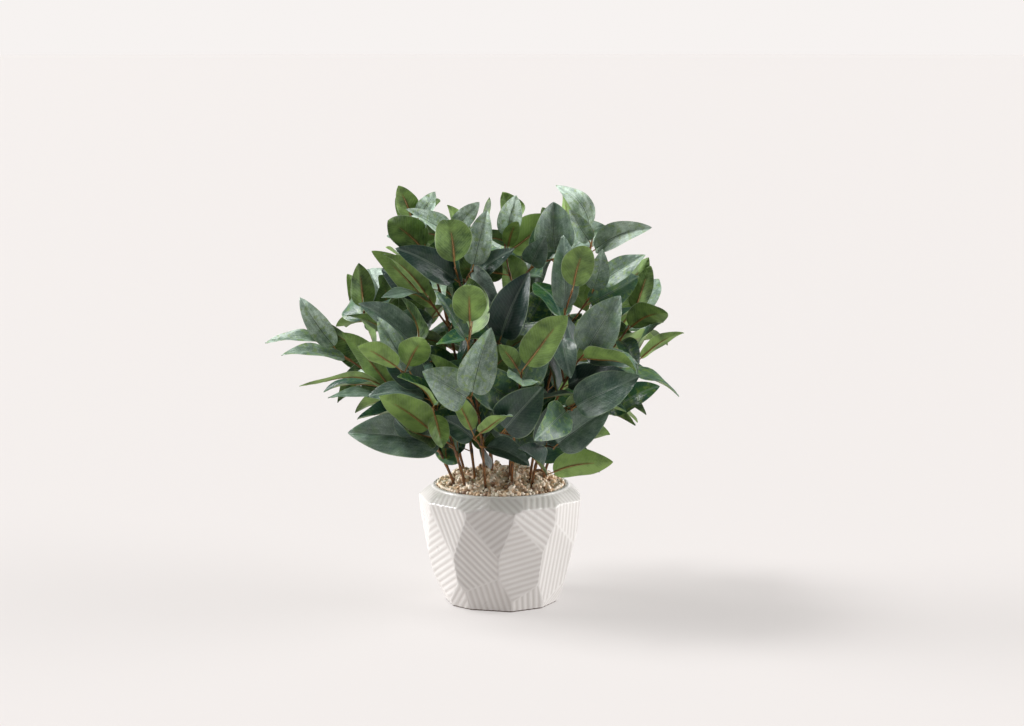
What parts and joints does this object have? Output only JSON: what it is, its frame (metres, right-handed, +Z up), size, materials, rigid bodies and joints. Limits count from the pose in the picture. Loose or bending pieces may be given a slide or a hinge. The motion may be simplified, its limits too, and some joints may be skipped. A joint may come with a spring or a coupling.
{
  "type": "artificial potted eucalyptus",
  "caption": "Table-top artificial eucalyptus with ovate grey-green leaves on brown stems, set in gravel in a faceted white ceramic pot.",
  "frame": {"origin": "centre of the pot's flat underside", "axes": "+Z up, -Y to the front of the plant, +X to its right seen from the front"},
  "size_m": [0.3851, 0.3339, 0.3939],
  "materials": {
    "glaze": "semi-gloss ivory glaze over fluted facets",
    "foam": "dry floral foam",
    "gravel": "tan and cream pebbles, glued",
    "bark": "brown coated wire",
    "leaf": "coated cloth leaf, satin, dusty bloom on the top side"
  },
  "bodies": {
    "root": {"foam_block": "foam", "gravel_bed": "gravel", "pot": "glaze", "sprig_back_centre": "leaf", "sprig_back_centre_low": "leaf", "sprig_back_left": "leaf", "sprig_back_left_high": "leaf", "sprig_back_left_low": "leaf", "sprig_back_left_side": "leaf", "sprig_back_right_low": "leaf", "sprig_back_top": "leaf", "sprig_back_top_left": "leaf", "sprig_back_top_right": "leaf", "sprig_centre": "leaf", "sprig_far_left": "leaf", "sprig_front_centre": "leaf", "sprig_front_centre_high": "leaf", "sprig_front_centre_low": "leaf", "sprig_front_left": "leaf", "sprig_front_left_inner": "leaf", "sprig_front_left_low": "leaf", "sprig_front_low": "leaf", "sprig_front_right": "leaf", "sprig_front_right_base": "leaf", "sprig_front_right_inner": "leaf", "sprig_front_right_low": "leaf", "sprig_left_high": "leaf", "sprig_left_low": "leaf", "sprig_left_middle": "leaf", "sprig_left_upper": "leaf", "sprig_right_back": "leaf", "sprig_right_back_high": "leaf", "sprig_right_back_low": "leaf", "sprig_right_front": "leaf", "sprig_right_front_high": "leaf", "sprig_right_high": "leaf", "sprig_right_low": "leaf", "sprig_right_middle": "leaf", "sprig_right_upper": "leaf", "sprig_top_centre": "leaf", "sprig_top_centre_left": "leaf", "sprig_top_centre_right": "leaf", "sprig_top_left": "leaf", "sprig_top_right": "leaf", "sprig_upper_centre_left": "leaf", "sprig_upper_left_front": "leaf", "stem_01": "bark", "stem_02": "bark", "stem_03": "bark", "stem_04": "bark", "stem_05": "bark", "stem_06": "bark", "stem_07": "bark", "stem_08": "bark", "stem_09": "bark", "stem_10": "bark", "stem_11": "bark", "stem_12": "bark", "stem_13": "bark", "stem_14": "bark"}
  },
  "joints": []
}
